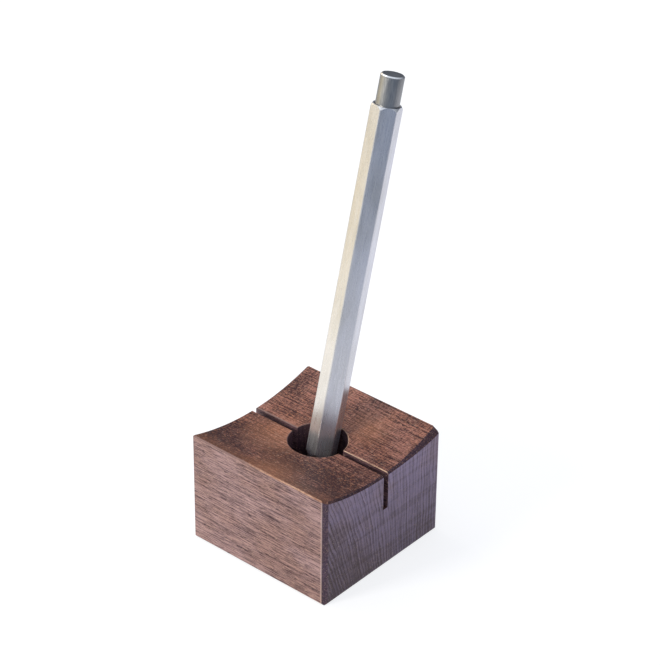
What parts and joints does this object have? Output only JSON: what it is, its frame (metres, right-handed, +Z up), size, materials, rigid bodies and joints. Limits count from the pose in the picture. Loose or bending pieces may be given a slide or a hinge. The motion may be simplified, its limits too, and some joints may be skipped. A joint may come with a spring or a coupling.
{
  "type": "pen and card stand with push-button pen",
  "caption": "Solid wooden desk block with a hollowed top, a round hole in which a hexagonal push-button pen leans, and a sawn slot right across that stands a card.",
  "frame": {"origin": "centre of the block's underside", "axes": "+Z up, +X along the grain and the card slot, +Y to the back, the way the pen leans"},
  "size_m": [0.05, 0.0591, 0.1363],
  "materials": {
    "stained_wood": "dark stained hardwood, fine open grain, low sheen",
    "brushed_barrel": "satin, brushed along its length",
    "turned_steel": "turned",
    "button_steel": "turned, fine rings",
    "mechanism_plastic": "moulded acetal, natural white",
    "rotor_plastic": "moulded, dark blue",
    "sleeve_brass": "machined",
    "refill_metal": "drawn nickel-plated tube",
    "ball_steel": "polished",
    "spring_steel": "drawn wire"
  },
  "bodies": {
    "stand": {"stand_block": "stained_wood"},
    "pen": {"hex_barrel": "brushed_barrel", "nose_cone": "turned_steel", "guide_sleeve": "sleeve_brass", "return_spring": "spring_steel"},
    "button": {"push_button": "button_steel", "plunger": "mechanism_plastic"},
    "refill": {"refill_tube": "refill_metal", "end_plug": "rotor_plastic", "spring_collar": "refill_metal", "refill_tip": "sleeve_brass", "writing_ball": "ball_steel", "cam_rotor": "rotor_plastic"}
  },
  "joints": [
    {"name": "pen_lift", "type": "slide", "parent": "stand", "child": "pen", "axis": [0.0038, 0.2449, 0.9695], "range_m": [0, 0.045]},
    {"name": "button_click", "type": "slide", "parent": "pen", "child": "button", "axis": [-0.0038, -0.2449, -0.9695], "range_m": [0, 0.0055], "stiffness_N_per_m": 400, "springref_m": -0.004},
    {"name": "refill_advance", "type": "slide", "parent": "pen", "child": "refill", "axis": [-0.0038, -0.2449, -0.9695], "range_m": [0, 0.0055], "deforming": ["return_spring"]}
  ],
  "couplings": [
    {"joint": "refill_advance", "follows": "button_click", "ratio": 1}
  ]
}
